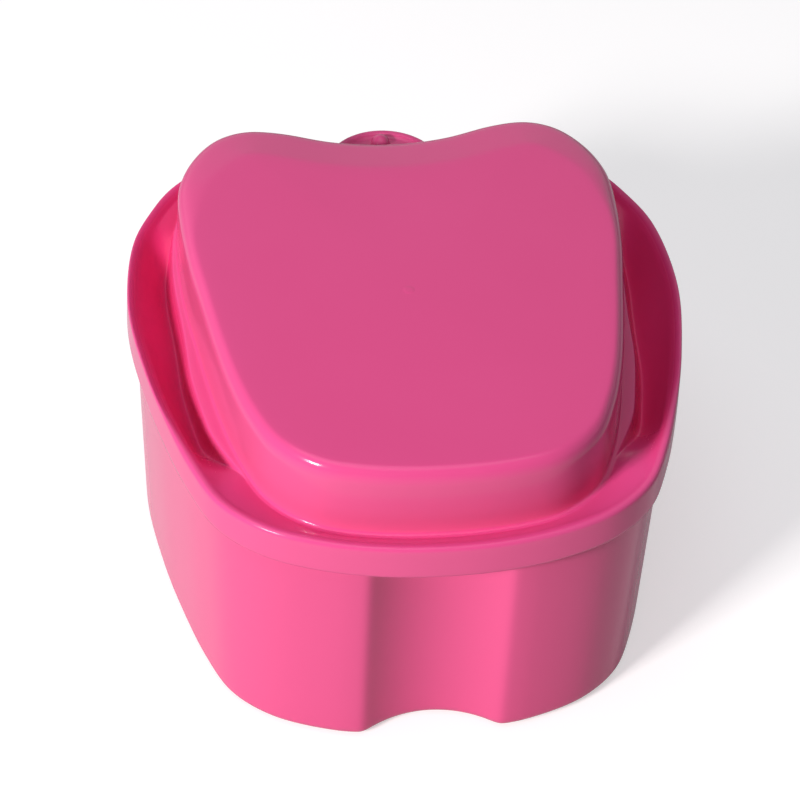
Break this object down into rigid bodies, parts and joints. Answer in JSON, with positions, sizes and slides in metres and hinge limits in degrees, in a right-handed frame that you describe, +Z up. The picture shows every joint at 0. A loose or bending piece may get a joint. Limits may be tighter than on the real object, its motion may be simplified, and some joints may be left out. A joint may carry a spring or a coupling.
{
  "type": "denture case",
  "caption": "Denture case: deep cup with a front thumb groove, overlapping lid with a raised tooth-shaped island, rear finger tab and a slotted strainer basket inside.",
  "frame": {"origin": "middle of the whole case's footprint, rear tab included, on the table", "axes": "+Z up, -Y towards the front with the thumb groove, +X to the right seen from the front"},
  "size_m": [0.095, 0.1066, 0.0587],
  "materials": {
    "cup_plastic": "moulded gloss, opaque pink",
    "lid_plastic": "moulded gloss, opaque pink",
    "basket_plastic": "moulded satin, off-white"
  },
  "bodies": {
    "cup": {"base_cup": "cup_plastic"},
    "lid": {"lid": "lid_plastic"},
    "basket": {"strainer_basket": "basket_plastic"}
  },
  "joints": [
    {"name": "lid_lift", "type": "slide", "parent": "cup", "child": "lid", "axis": [0, 0, 1], "range_m": [0, 0.09]},
    {"name": "basket_lift", "type": "slide", "parent": "cup", "child": "basket", "axis": [0, 0, 1], "range_m": [0, 0.045]}
  ],
  "couplings": [
    {"joint": "basket_lift", "follows": "lid_lift", "ratio": 0.5}
  ]
}
